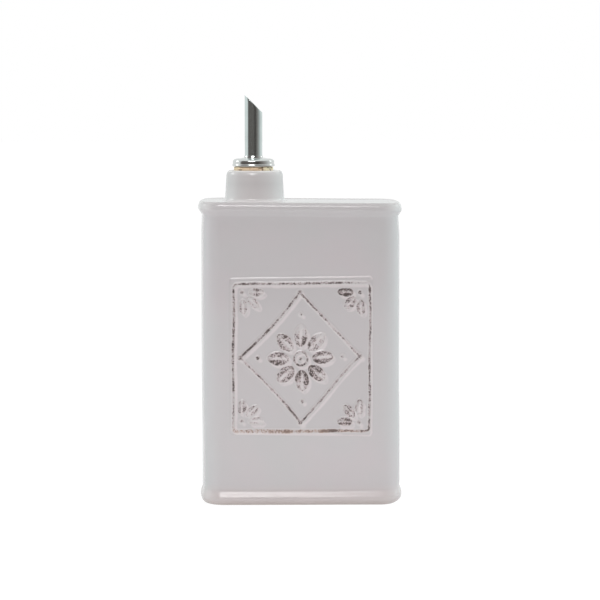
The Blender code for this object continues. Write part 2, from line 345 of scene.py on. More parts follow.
# %% Build the can's skin
FOOT_EDGE, FOOT_BELLY, FOOT_TOP = mm(4.2, 3.4, 8.4)
FOOT_LAND, BASE_RECESS, BASE_SLOPE = mm(3.6, 1.0, 1.2)
RIM_HEIGHT, RIM_BELLY, RIM_CREST = mm(7.6, 3.65, 2.8)
RIM_FLAT, LIP_FLAT = mm(0.55, 0.35)
RIM_POWER, FLAT_LEAN, ROLL_START = 2.3, 15.5, 3
TOP_SLOPE, TOP_SUNK, TOP_THICK = mm(2.4, 0.25, 5.0)
NECK_BASE, NECK_TOP, NECK_FILLET = mm(15.6, 14.95, 1.8)
LIP_HEIGHT, LIP_WIDTH, BORE, BORE_ROUND = mm(3.4, 1.9, 10.55, 1.0)
WALL, FLOOR, INNER_FILLET = mm(4.5, 6.0, 3.0)
TOP_Z = RIM_Z - TOP_SUNK
CEILING = TOP_Z - TOP_THICK


def flatted_roll(start, end, steps, flat, power=2.0):
    """A quarter round that starts upright, parted after a few points by a narrow flat that leans back."""
    lean = flat * np.array([-math.tan(math.radians(FLAT_LEAN)), 1])
    roll = quarter(start, np.array(end) - lean, steps, UPRIGHT, power)
    return roll + lean * (np.arange(steps) >= ROLL_START)[:, None]


def between(ring_a, ring_b, steps):
    """Rings that lead from one ring to another, leaving out both, with the heights easing over."""
    share = shares(steps)[:-1, None, None]
    share = np.concatenate([share, share, ease(share)], axis=-1)
    return ring_a * (1 - share) + ring_b * share


def can_skin():
    """The whole can as one closed grid of rings."""
    land_out = FOOT_PROUD - FOOT_EDGE
    outside = chain(
        (land_out - FOOT_LAND - BASE_SLOPE, BASE_RECESS),
        (straight, (land_out - FOOT_LAND, 0), 3),
        (straight, (land_out, 0), 4),
        (quarter, (FOOT_PROUD, FOOT_BELLY), 14, LEVEL),
        (swell, (0, FOOT_TOP), 12),
        (straight, (0, RIM_Z - RIM_HEIGHT), 56),
        (swell, (RIM_PROUD, RIM_Z - RIM_BELLY), 12),
        (flatted_roll, (RIM_PROUD - RIM_CREST, RIM_Z), 16, RIM_FLAT, RIM_POWER),
        (sink, (RIM_PROUD - RIM_CREST - TOP_SLOPE, TOP_Z), 8),
    )
    outer = can_rings(outside)
    headings = np.arctan2(outer[-1, :, 1], outer[-1, :, 0] - NECK_X)
    neck = chain(
        (NECK_BASE + NECK_FILLET, TOP_Z),
        (quarter, (NECK_BASE, TOP_Z + NECK_FILLET), 8, LEVEL),
        (straight, (NECK_TOP, MOUTH_Z - LIP_HEIGHT), 10),
        (flatted_roll, (NECK_TOP - LIP_WIDTH, MOUTH_Z), 12, LIP_FLAT),
        (straight, (BORE + BORE_ROUND, MOUTH_Z), 4),
        (quarter, (BORE, MOUTH_Z - BORE_ROUND), 8, LEVEL),
        (straight, (BORE, CEILING + BORE_ROUND), 8),
        (quarter, (BORE + BORE_ROUND, CEILING), 5, UPRIGHT),
    )
    circles = neck_rings(neck, headings)
    circles[..., 0] += NECK_DRIFT * rising(neck[:, 0, None] - BORE - BORE_ROUND, 0, 2)
    hollow = can_rings(chain(
        (-WALL - INNER_FILLET, CEILING),
        (quarter, (-WALL, CEILING - INNER_FILLET), 6, LEVEL),
        (straight, (-WALL, FLOOR + INNER_FILLET), 12),
        (quarter, (-WALL - INNER_FILLET, FLOOR), 6, UPRIGHT),
    ))
    outer = warp_outside(outer)
    outset, height = outside[:, 0, None], outside[:, 1, None]
    edge = np.clip((outset - land_out) / FOOT_EDGE, 0, 1) * (height < FOOT_TOP)
    rise = ease(outer[..., 0] / HALF_WIDTH) * (1 - np.clip(outer[..., 2] / FOOT_TOP, 0, 1))
    outer[..., 2] += FOOT_LIFT * edge * rise
    to_neck, to_hollow = between(outer[-1], circles[0], 14), between(circles[-1], hollow[0], 10)
    grid = np.concatenate([outer, to_neck, circles, to_hollow, hollow])
    return skin("can_glazed", grid, (0, 0, BASE_RECESS), (0, 0, FLOOR))


can = can_skin()
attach(can, "can")
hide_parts("can_body")
print("can faces:", len(can.data.polygons))

# %% [markdown]
# ## The raised panel
# On the front the mould left a shallow plate with a ridge round it and ornament inside. Relief this fine
# is a height for each point of a grid, worked out from distances: to the plate's edge, and to the lines.
# The plate is its own closed piece, whose edge dips into the wall.

# %% Distances that draw the relief
STEP = 0.34 * MM
PANEL_HALF, PANEL_LOW, PANEL_HIGH, PANEL_CORNER = mm(37.15, 36.8, 119.5, 1.8)
PANEL_RISE, PANEL_SHOULDER, PANEL_TUCK, PANEL_UNDER = mm(0.42, 1.1, 0.35, 0.4)
PANEL_MARGIN, PANEL_DEPTH, PANEL_SKEW = mm(1.2, 1.5, 0.45)
RIDGE_SIDE, RIDGE_TOP, RIDGE_BOTTOM = mm(1.75, 3.4, 2.2)
RIDGE_HALF, RIDGE_RISE = mm(1.35, 0.55)
BORDER_RIGHT, EDGE_FALL, LINE_RISE = mm(0.3, 0.5, 0.3)
# Painted light lies this far to the right of and below each line.
LIGHT_RIGHT, LIGHT_DOWN = mm(1.4, 1.6)
# The painted highlight along the panel's upper edge: its inset, half width and band.
PANEL_BED, HIGHLIGHT_IN, HIGHLIGHT_HALF, HIGHLIGHT_BAND = mm(0.05, 0.2, 0.9, 2)


def inside_box(x, z, half_width, bottom, top, corner):
    """Distance inside a rounded rectangle, negative outside: corner radius less the way to its skeleton."""
    across = np.abs(x) - (half_width - corner)
    up = np.abs(z - (bottom + top) / 2) - ((top - bottom) / 2 - corner)
    outside = np.hypot(np.maximum(across, 0), np.maximum(up, 0))
    return corner - outside - np.minimum(np.maximum(across, up), 0)


def ridge(distance, half_width):
    """A rounded ridge: the square of one minus the squared share of the way from its crest to its foot."""
    share = np.clip(np.abs(distance) / half_width, 0, 1)
    return (1 - share**2) ** 2


print("depth inside a 10 mm box at its middle:", inside_box(0.0, 5.0, 5.0, 0.0, 10.0, 1.0))

# %% [markdown]
# ## The ornament
# The ornament is a plain traditional one: a rosette of eight leaves in a curved lozenge, with a quarter
# rosette in each corner of the panel. Every line wavers a little in place and depth, as if cut by hand.

# %% Draw the ornament as ridges and domes
STROKE, WAVER = mm(1.3, 0.35)
PETALS, ROSETTE, CORNER_LEAVES = 8, mm(5.2, 18.4, 4.3), mm(2.9, 12.4, 2.9)
RING, RING_DOME, CORNER_INSET, CORNER_CUT = mm(3.6, 1.8, 4.8, 1.9)
LOZENGE_ACROSS, LOZENGE_UP, BEAD_ACROSS, BEAD_UP = mm(31.0, 34.0, 22.3, 23.0)
LOZENGE_BOW = 0.98
FIELD_MIDDLE = (PANEL_LOW + RIDGE_BOTTOM + PANEL_HIGH - RIDGE_TOP) / 2
FIELD_HALF = PANEL_HALF - RIDGE_SIDE
FIELD_TALL = (PANEL_HIGH - RIDGE_TOP - PANEL_LOW - RIDGE_BOTTOM) / 2


def petals(x, z, inner, outer, half_width):
    """Domed leaves on spokes from inner to outer radius, each with a groove along its middle.

    The heading is folded into the nearest spoke. A leaf's share is one minus the squared place along it and
    the place across it to the power 1.5, each over its half size. The dome eases up over the share's start.
    """
    radius, heading = np.hypot(x, z), np.arctan2(x, z)
    spoke = np.round(heading * PETALS / TURN) * TURN / PETALS
    along = radius * np.cos(heading - spoke) - (inner + outer) / 2
    across = radius * np.sin(heading - spoke)
    share = 1 - (along / (outer - inner) * 2) ** 2 - np.abs(across / half_width) ** 1.5
    groove = ridge(across, 0.34 * half_width) * ease(1.6 * share)
    return 0.9 * ease(2.8 * share) - 0.4 * groove


def rosette(x, z):
    """Petals round a ring with a dome in it."""
    radius = np.hypot(x, z)
    middle = np.maximum(ridge(radius - RING, 0.9 * STROKE), ridge(radius, RING_DOME))
    return np.maximum(petals(x, z, *ROSETTE), middle)


def lozenge(x, z):
    """A four-pointed outline with bowed sides: the shares of the way out, each to a power, add up to one.

    A bead sits on each tip and one inside it.
    """
    across, up = np.abs(x) / LOZENGE_ACROSS + 1e-4, np.abs(z) / LOZENGE_UP + 1e-4
    level = across**LOZENGE_BOW + up**LOZENGE_BOW - 1
    slope_x = LOZENGE_BOW * across ** (LOZENGE_BOW - 1) / LOZENGE_ACROSS
    slope_z = LOZENGE_BOW * up ** (LOZENGE_BOW - 1) / LOZENGE_UP
    marks = [ridge(level / np.hypot(slope_x, slope_z), STROKE)]
    for far, tall, wide in ((LOZENGE_ACROSS, LOZENGE_UP, 1.9), (BEAD_ACROSS, BEAD_UP, 1.5)):
        bead = np.minimum(np.hypot(np.abs(x) - far, z), np.hypot(x, np.abs(z) - tall))
        marks.append(ridge(bead, wide * STROKE))
    return np.maximum.reduce(marks)


def corner_rosettes(x, z):
    """Three petals and a dome, mirrored into the four corners."""
    across = FIELD_HALF - CORNER_INSET - np.abs(x)
    up = FIELD_TALL - CORNER_INSET - np.abs(z)
    kept = np.minimum(across, up) > -CORNER_CUT
    fan = petals(across, up, *CORNER_LEAVES) * kept
    return np.maximum(fan, ridge(np.hypot(across, up), 1.6 * STROKE))


def waver(x, z):
    """Small slow shifts of a point, so that no line is ruler straight."""
    a, b = x / MM, z / MM
    across = WAVER * (np.sin(b / 6.1 + 1.3) + np.sin(a / 9.3 + b / 14 + 0.4))
    up = WAVER * (np.sin(a / 7.7 + 2.1) + np.sin(b / 11 - a / 17))
    return x + across, z + up


def unevenness(x, z):
    """Between 0.72 and 1.12: how strongly the relief stands at a place."""
    a, b = x / MM, z / MM
    fine = np.sin(a / 5.3 + b / 8.9) * np.sin(b / 4.7 - a / 12)
    return 0.92 + 0.1 * fine + 0.1 * np.sin(a / 15 + b / 11 + 2)


print("the middle bead stands at", round(float(rosette(0.0, 0.0)), 2), "of the relief's height")

# %% [markdown]
# ## From heights to a closed plate
# The grid's heights stand off the same warped wall as the can's skin. The crest heights are also kept as
# numbers on the points, so that the glaze knows where the relief was rubbed bare, and so is where light is
# painted beside the lines and along the panel's upper edge.

# %% Build the panel
BOTTOM_SUNK, SPARED = 0.85, 0.36


def near_bottom(z):
    """1 along the border's bottom line, easing to 0 above it."""
    return falling(z - PANEL_LOW, 5.5, 2.5)


def spared(x, z):
    """1 where the border's line was rubbed least, easing to 0.

    That is at its corners, at its top right and at its bottom left.
    """
    top, bottom = rising(z - PANEL_HIGH, -7, 2), near_bottom(z)
    from_end = np.abs(np.abs(x - BORDER_RIGHT) - FIELD_HALF)
    corner = np.maximum(top, bottom) * falling(from_end, 5.2, 4)
    return np.maximum.reduce([corner, top * rising(x, 8, 16), bottom * falling(x, -24, 9)])


def drawn(x, z):
    """How near each point lies to a crest of the border and of the ornament, both from 0 to 1.

    The border's line is 1.6 times as wide at the bottom, less so to the right.
    """
    wavy_x, wavy_z = waver(x, z)
    across, up = x - BORDER_RIGHT + (wavy_x - x) / 2, (wavy_z + z) / 2
    bottom, top = PANEL_LOW + RIDGE_BOTTOM, PANEL_HIGH - RIDGE_TOP
    border = inside_box(across, up, FIELD_HALF, bottom, top, PANEL_CORNER)
    lines = ridge(border, RIDGE_HALF * (1 + near_bottom(z) * (0.6 - 0.5 * rising(x, -5, 30))))
    wavy_z = wavy_z - FIELD_MIDDLE
    return lines, np.maximum.reduce([draw(wavy_x, wavy_z) for draw in (rosette, lozenge, corner_rosettes)])


def panel_heights(x, z):
    """Height over the wall, how near each point lies to a crest, and where light is painted.

    The bottom line hardly stands up, and it rises to the right while the panel's edge falls. Painted light
    lies a little to the right of and below each line, and a painted highlight along the panel's upper edge.
    """
    level = z - PANEL_SKEW * (x / PANEL_HALF) * ease((z - PANEL_LOW) / (PANEL_HIGH - PANEL_LOW))
    sway = near_bottom(z) * x / PANEL_HALF
    bottom, lower = near_bottom(level), level + EDGE_FALL * sway
    edge = inside_box(x, lower, PANEL_HALF, PANEL_LOW, PANEL_HIGH, PANEL_CORNER)
    plate = PANEL_RISE * ease((edge + PANEL_TUCK) / PANEL_SHOULDER) - PANEL_BED
    under = PANEL_UNDER * ease(-(edge + PANEL_TUCK) / MM)
    lines, ornament = drawn(x, level - LINE_RISE * sway)
    # Painted light: the lines shifted right and down, where the glaze is painted paler.
    pale = np.maximum.reduce(drawn(x - LIGHT_RIGHT, lower + LIGHT_DOWN * (1 + 0.3 * bottom)))
    # Painted highlight: a paler line just inside the panel's upper edge, easing in towards the right.
    upper = ridge(edge - HIGHLIGHT_IN, HIGHLIGHT_HALF) * (level > PANEL_HIGH - HIGHLIGHT_BAND) * rising(x, -10, 40)
    uneven = unevenness(x, z)
    relief = RIDGE_RISE * np.maximum(lines * (1 - BOTTOM_SUNK * bottom), ornament * uneven)
    crest = np.maximum(lines * (uneven + 0.06) * (1 - SPARED * spared(x, level)), ornament * uneven)
    return plate - under + relief, crest, np.maximum(pale, upper)


def panel_plate():
    """The relief's front grid, closed by its own border set back into the wall and a fan to one point."""
    across = np.arange(-PANEL_HALF - PANEL_MARGIN, PANEL_HALF + PANEL_MARGIN, STEP)
    up = np.arange(PANEL_LOW - PANEL_MARGIN, PANEL_HIGH + PANEL_MARGIN, STEP)
    x, z = np.meshgrid(across, up)
    height, crest, pale = panel_heights(x, z)
    front = rows_at(x, -HALF_DEPTH + wall_wave(-x, z) - height, z).reshape(-1, 3)
    number = np.arange(x.size).reshape(x.shape)
    border = np.concatenate([number[0, :-1], number[:-1, -1], number[-1, :0:-1], number[:0:-1, 0]])
    count = len(border)
    here = x.size + np.arange(count)
    there = np.roll(here, -1)
    sides = np.stack([np.roll(border, -1), border, here, there], axis=-1)
    fan = np.stack([np.full(count, x.size + count), there, here], axis=-1)
    back = front[border] + np.array([0, PANEL_DEPTH, 0])
    points = np.concatenate([front, back, [[0, -HALF_DEPTH + PANEL_DEPTH, FIELD_MIDDLE]]])
    faces = np.concatenate([grid_faces(*x.shape, False, False), sides])
    piece = make_piece("front_panel", points, faces, fan)
    for name, value in (("crest", crest), ("pale", pale)):
        mark_points(piece, name, np.concatenate([value.ravel(), np.zeros(count + 1)]))
    return piece


panel = panel_plate()
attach(panel, "can")
print("panel faces:", len(panel.data.polygons))

# %% [markdown]
# ## The cork
# The stopper is punched from natural cork and tapers into the neck. Its skin is a turned profile, eaten
# away at the lenticels, the dark flat pores that run across the bark. Each pore is a soft dip at a place
# drawn from a seeded generator, so the cork is the same on every run.

# %% Build the cork with its pores
CORK_LONG, CORK_SHOWN, CORK_TAPER, CORK_EDGE = mm(20.0, 1.7, 2.2, 0.5)
TUBE_OUT, TUBE_WALL, FIT = mm(4.65, 0.5, 0.3)
PORES, PORE_SEED = 260, 5
PORE_WIDE_MM, PORE_TALL_MM, PORE_DEEP_MM = (0.5, 1.9), (0.15, 0.34), (0.12, 0.3)


def all_round(steps):
    """Headings at even steps round the neck's axis."""
    return np.arange(steps) * TURN / steps


def pits(heading, z, radius):
    """Depth of the pores: soft oval dips, longer round the cork than up it, at seeded places."""
    draw = np.random.default_rng(PORE_SEED)
    depth = np.zeros(np.broadcast(heading, z).shape)
    for _ in range(PORES):
        place, height = draw.uniform(0, TURN), draw.uniform(-CORK_LONG, CORK_SHOWN)
        wide, tall = draw.uniform(*PORE_WIDE_MM) * MM, draw.uniform(*PORE_TALL_MM) * MM
        around = (np.mod(heading - place + math.pi, TURN) - math.pi) * radius
        share = (around / wide) ** 2 + ((z - MOUTH_Z - height) / tall) ** 2
        depth = np.maximum(depth, draw.uniform(*PORE_DEEP_MM) * MM * np.clip(1 - share, 0, 1))
    return depth


def cork_skin():
    """The tapered cork round the tube, from its lower bore edge outwards, up and back in."""
    bore, mouth_radius = TUBE_OUT + FIT, BORE - FIT
    bottom, top = MOUTH_Z + (CORK_SHOWN - CORK_LONG), MOUTH_Z + CORK_SHOWN
    wide = mouth_radius + CORK_TAPER / 2 * CORK_SHOWN / CORK_LONG
    narrow = mouth_radius + CORK_TAPER / 2 * (CORK_SHOWN - CORK_LONG) / CORK_LONG
    outline = chain(
        (bore, bottom),
        (straight, (narrow - CORK_EDGE, bottom), 8),
        (quarter, (narrow, bottom + CORK_EDGE), 4, LEVEL),
        (straight, (wide, top - CORK_EDGE), 110),
        (quarter, (wide - CORK_EDGE, top), 4, UPRIGHT),
        (straight, (bore, top), 8),
        (straight, (bore, bottom), 12),
    )[:-1]
    heading = all_round(240)
    grid = neck_rings(outline, heading)
    depth = pits(heading[None, :], grid[..., 2], wide) * (outline[:, 0] > narrow - 1e-6)[:, None]
    grid[..., 0] -= depth * np.cos(heading)
    grid[..., 1] -= depth * np.sin(heading)
    piece = skin("cork", grid, wrap_rows=True)
    mark_points(piece, "pore", depth / (PORE_DEEP_MM[1] * MM))
    return piece


cork = cork_skin()
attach(cork, "stopper")
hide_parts("cork_stopper")
print("cork faces:", len(cork.data.polygons))

# %% [markdown]
# ## The pour tube
# The tube is drawn steel, cut at a slant so that the last drop runs back. Its outline goes up the outside,
# over the cut and down the bore. A slanted cut is one rule for every point: none may lie above the
# cutting plane, so the upper rows are squeezed below it in proportion. The thin edge is rounded.

# %% Build the tube
RISE, TAIL, CUT_BASE, FLARE, FLARE_TALL = mm(39.6, 4.0, 10, 0.8, 1.6)
TUBE_FOOT = MOUTH_Z + CORK_SHOWN - CORK_LONG - TAIL
CUT_TIP = MOUTH_Z + RISE


def slant(grid, base_z):
    """Rows between base and tip, squeezed to end on a plane through the tip at 45 degrees."""
    x, y, z = grid[..., 0], grid[..., 1], grid[..., 2]
    ceiling = CUT_TIP - (x - (NECK_X - TUBE_OUT))
    share = np.clip((z - base_z) / (CUT_TIP - base_z), 0, 1)
    return rows_at(x, y, np.where(z > base_z, base_z + share * (ceiling - base_z), z))


def tube_skin():
    """The tube's wall as one outline, closed over the slanted mouth by a half round."""
    bend_z, flare_top = MOUTH_Z + CUT_BASE, TUBE_FOOT + FLARE_TALL
    inner, half = TUBE_OUT - TUBE_WALL, TUBE_WALL / 2
    outline = chain(
        (TUBE_OUT + FLARE, TUBE_FOOT),
        (swell, (TUBE_OUT, flare_top), 8),
        (straight, (TUBE_OUT, bend_z), 6),
        (straight, (TUBE_OUT, CUT_TIP - half), 16),
        (quarter, (TUBE_OUT - half, CUT_TIP), 4, UPRIGHT),
        (quarter, (inner, CUT_TIP - half), 4, LEVEL),
        (straight, (inner, bend_z), 16),
        (straight, (inner, flare_top), 6),
        (swell, (inner + FLARE, TUBE_FOOT), 8),
    )
    return skin("spout_tube", slant(neck_rings(outline, all_round(128)), bend_z), wrap_rows=True)


tube = tube_skin()
print("the tube's tip is at, in mm:", round(CUT_TIP / MM, 1))

# %% Build its collar and the breather
COLLAR_WIDE, COLLAR_BEAD, COLLAR_STEP = mm(22.5, 1.1, 0.3)
COLLAR_BELLY, COLLAR_SHOULDER, COLLAR_REACH, COLLAR_DOME = mm(2.5, 1.6, 2.9, 0.45)
HUB_RISE, HUB_STEP, HUB_WIDE, BREATHER_WALL = mm(0.95, 0.35, 0.17, 0.3)


def collar_skin():
    """A drum on a proud bead, with a wide round shoulder, a low dome, and a step and cone at the tube."""
    hole, rim = TUBE_OUT + FIT / 2, COLLAR_WIDE / 2
    bottom = MOUTH_Z + CORK_SHOWN + FIT
    belly = bottom + COLLAR_BELLY
    top = belly + COLLAR_SHOULDER
    outline = chain(
        (hole, bottom),
        (straight, (rim - COLLAR_BEAD / 2, bottom), 6),
        (quarter, (rim, bottom + COLLAR_BEAD / 2), 8, LEVEL),
        (quarter, (rim - COLLAR_STEP, bottom + COLLAR_BEAD), 8, UPRIGHT),
        (straight, (rim - COLLAR_STEP, belly), 6),
        (quarter, (rim - COLLAR_REACH, top), 14, UPRIGHT),
        (sink, (hole + HUB_WIDE, top + COLLAR_DOME), 16),
        (straight, (hole + HUB_WIDE, top + COLLAR_DOME + HUB_STEP), 6),
        (straight, (hole, top + COLLAR_DOME + HUB_RISE), 8),
        (straight, (hole, bottom), 4),
    )[:-1]
    return skin("spout_collar", neck_rings(outline, all_round(160)), wrap_rows=True)


def breather_skin():
    """A thin tube beside the pour tube's wall, ending under the slanted mouth."""
    (left, _, bottom), (right, _, top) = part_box("breather_tube")
    out, wall = (right - left) / 2, BREATHER_WALL
    outline = chain(
        (out, bottom),
        (straight, (out, top - wall / 2), 12),
        (quarter, (out - wall / 2, top), 3, UPRIGHT),
        (quarter, (out - wall, top - wall / 2), 3, LEVEL),
        (straight, (out - wall, bottom), 12),
    )
    grid = neck_rings(outline, all_round(40))
    grid[..., 0] += (left + right) / 2 - NECK_X
    return skin("spout_breather", grid, wrap_rows=True)


collar, breather = collar_skin(), breather_skin()
for piece, node, finish in ((tube, "pour_tube", "polished_steel"), (collar, "collar", "polished_steel"),
                            (breather, "breather_tube", "drawn_steel")):
    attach(piece, "spout")
    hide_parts(node)
    print(piece.name, "faces:", len(piece.data.polygons))

# %% [markdown]
# ## Finishes as expressions
# A finish mixes patterns: a slow cloud of tone, fine specks, a mask for worn crests. Written as sums and
# products they read like a recipe, so a small class wraps a socket and each operator adds one Math node.
# Colours go through Mix nodes, because a Math node would turn them grey.

# %% A socket that can be added and multiplied
class Level:
    """A number, or a colour, that varies over a surface."""

    def __init__(self, recipe, socket):
        self.recipe, self.socket = recipe, socket

    def maths(self, operation, *values, clamp=False):
        """Adds a Math node that works on the values."""
        return self.recipe.node("ShaderNodeMath", {"operation": operation, "use_clamp": clamp}, *values)

    def __add__(self, other):
        return self.maths("ADD", self, other)

    def __sub__(self, other):
        return self.maths("SUBTRACT", self, other)

    def __rsub__(self, other):
        return self.maths("SUBTRACT", other, self)

    def __mul__(self, other):
        return self.maths("MULTIPLY", self, other)

    def __abs__(self):
        return self.maths("ABSOLUTE", self)

    __radd__, __rmul__ = __add__, __mul__

    def between(self, low, high):
        """0 at low and 1 at high, straight between and held beyond."""
        return self.maths("MULTIPLY", self - low, 1 / (high - low), clamp=True)


print("a level has", [name.strip("_") for name in vars(Level) if callable(getattr(Level, name))][1:])

# %% Recipes that add nodes to a material or to the world
class Recipe:
    """A tree of nodes that grows with each expression."""

    def __init__(self, tree):
        self.tree = tree

    def fill(self, node, *values, **named):
        """Gives sockets values or links, in order or by name; None skips one, a colour gets its alpha."""
        by_name = [(node.inputs[key.replace("_", " ")], value) for key, value in named.items()]
        for socket, value in [*zip(node.inputs, values), *by_name]:
            if isinstance(value, Level):
                self.tree.links.new(value.socket, socket)
            elif value is not None:
                socket.default_value = (*value, 1.0) if socket.type == "RGBA" else value

    def node(self, kind, settings=None, *values, output=0, **named):
        """Adds a node: first its settings, then what its sockets take."""
        made = self.tree.nodes.new(kind)
        for key, value in (settings or {}).items():
            setattr(made, key, value)
        self.fill(made, *values, **named)
        return Level(self, made.outputs[output])

    def mix(self, first, second, share):
        """Blends two colours by a share; a Mix node's colours come after its other pairs."""
        others = [None] * 5
        return self.node("ShaderNodeMix", {"data_type": "RGBA"}, share, *others, first, second, output=2)

    def paint(self, colour, *coats):
        """Lays coats over a colour, each one a colour and its share."""
        for coat, share in coats:
            colour = self.mix(colour, coat, share)
        return colour

    def ray(self, kind):
        """1 for rays of a kind, such as those straight from the camera, and 0 for the others."""
        return self.node("ShaderNodeLightPath", output=f"Is {kind} Ray")


class Finish(Recipe):
    """The recipe of a material that ends in one Principled shader."""

    def __init__(self, name):
        self.material = bpy.data.materials.new(name)
        self.material.use_nodes = True
        super().__init__(self.material.node_tree)
        self.shader = self.tree.nodes["Principled BSDF"]
        self.place = self.node("ShaderNodeTexCoord", output="Object")

    def axis(self, name):
        """The place along X, Y or Z in metres."""
        return self.node("ShaderNodeSeparateXYZ", {}, self.place, output=name)

    def mark(self, name):
        """A number kept on the points."""
        return self.node("ShaderNodeAttribute", {"attribute_name": name}, output="Fac")

    def noise(self, scale, detail=2.0, roughness=0.5, stretch=(1, 1, 1), shift=(0, 0, 0)):
        """Noise with features of about one over scale metres, stretched per axis where asked."""
        where = self.node("ShaderNodeMapping", {}, self.place, Scale=stretch, Location=shift)
        named = {"Scale": scale, "Detail": detail, "Roughness": roughness}
        return self.node("ShaderNodeTexNoise", {}, output="Fac", Vector=where, **named)

    def bump(self, height, distance, strength):
        """A normal tilted by a height pattern of the given depth in metres."""
        return self.node("ShaderNodeBump", {}, Strength=strength, Distance=distance, Height=height)

    def set(self, **named):
        """Fills the Principled shader's sockets and gives the material."""
        self.fill(self.shader, **named)
        return self.material

    def end_in(self, shader):
        """Makes another shader the material's surface."""
        self.fill(self.tree.nodes["Material Output"], Surface=shader)


def dress(piece, material):
    """Gives a piece its only material."""
    piece.data.materials.clear()
    piece.data.materials.append(material)


print("a finish can", [name for name in (*vars(Recipe), *vars(Finish)) if not name.startswith("_")])

# %% [markdown]
# ## The glaze
# The glaze is glossy and warm grey, a little pinker in some places and greener in others, because it lies
# thicker and thinner. It runs thin along the foot and shows the warm body, and the foot's lowest edge is
# painted darker and warmer as painted shade where it turns under to the floor. Top, neck and lip are
# painted paler as painted light, and the neck's foot paler still as painted light where shade would gather.
# On the panel the crests were rubbed back to a brown stain, in a broken line that is rusty towards the
# bottom, with a soft pinkish painted light to the right of and under each line and a painted highlight
# along the panel's upper edge.

# %% Glaze for the can and its panel
GREIGE, PINKER, GREENER = (0.506, 0.476, 0.484), (0.524, 0.472, 0.486), (0.484, 0.479, 0.476)
# Painted light: the paler top and neck (also the thin glaze on the relief's shoulders), the paler foot of
# the neck, and the paler lip.
THIN_GLAZE_AND_LIGHT, NECK_FOOT_LIGHT, LIP_LIGHT = (0.64, 0.6, 0.594), (0.74, 0.7, 0.7), (0.78, 0.735, 0.72)
# Painted shade: the second colour here is the darker, warmer foot edge.
WARM_GLAZE, WARM_FOOT_SHADE, SPECK = (0.555, 0.482, 0.475), (0.47, 0.405, 0.38), (0.34, 0.31, 0.3)
# Painted light: the second colour here is the pinkish paler glaze beside the lines.
FIELD, PINK_LIGHT, BARE = (0.488, 0.452, 0.46), (0.62, 0.556, 0.566), (0.07, 0.05, 0.048)
STAIN, RUSTY = (0.37, 0.275, 0.27), (0.5, 0.31, 0.225)
EDGE_BAND, FOOT_BAND, FOOT_GLOSS = (0.0015, 0.0045), (0.007, 0.012), (0.009, 0.013)
TOP_BAND, TOP_GLOSS, NECK_BAND, NECK_PALE = (0.153, 0.155), (0.15, 0.154), (0.158, 0.167), (0.16, 0.17)
LIP_BAND = (MOUTH_Z - 0.9 * MM, MOUTH_Z - 0.3 * MM)
NECK_RING, RUSTY_BAND, RUSTY_SIDE = (0.017, 0.021), (0.04, 0.044), (0.016, 0.028)
SHELL_DEPTH, SHELL_BAND = 0.0325, (0.0, 0.003)


